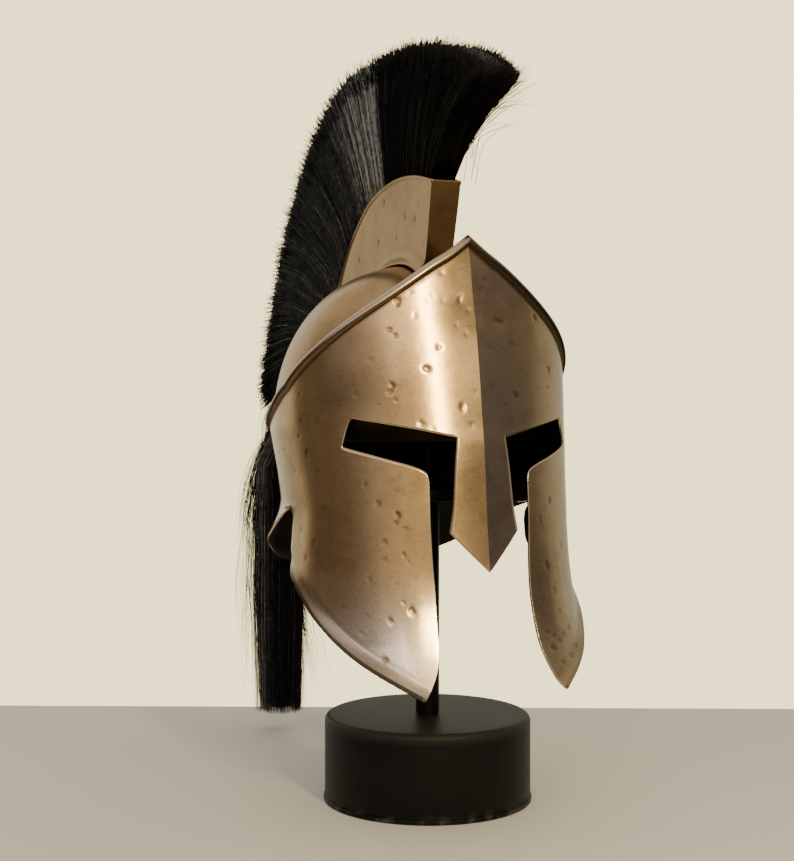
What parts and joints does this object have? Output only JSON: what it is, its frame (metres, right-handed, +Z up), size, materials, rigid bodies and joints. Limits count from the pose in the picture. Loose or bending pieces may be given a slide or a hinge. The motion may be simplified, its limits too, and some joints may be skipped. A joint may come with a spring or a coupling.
{
  "type": "greek bronze helmet on a round stand",
  "caption": "Antique-bronze Greek helmet with cheek and neck guards and a tall black hair crest, on a round black post stand.",
  "frame": {"origin": "centre of the stand's underside, on the axis of its post", "axes": "+Z up along the post, the helmet's face towards -Y, its left side towards +X"},
  "size_m": [0.2258, 0.4099, 0.5623],
  "materials": {
    "bronze": "satin",
    "horsehair": "satin",
    "black_wood": "satin",
    "black_metal": "satin"
  },
  "bodies": {
    "root": {"helmet_wall": "bronze", "skull_bowl": "bronze", "crest_box": "bronze", "plume_brush": "horsehair", "plume_tail": "horsehair", "stand_base": "black_wood", "stand_post": "black_metal", "stand_plate": "black_metal", "stand_head": "black_wood"}
  },
  "joints": []
}
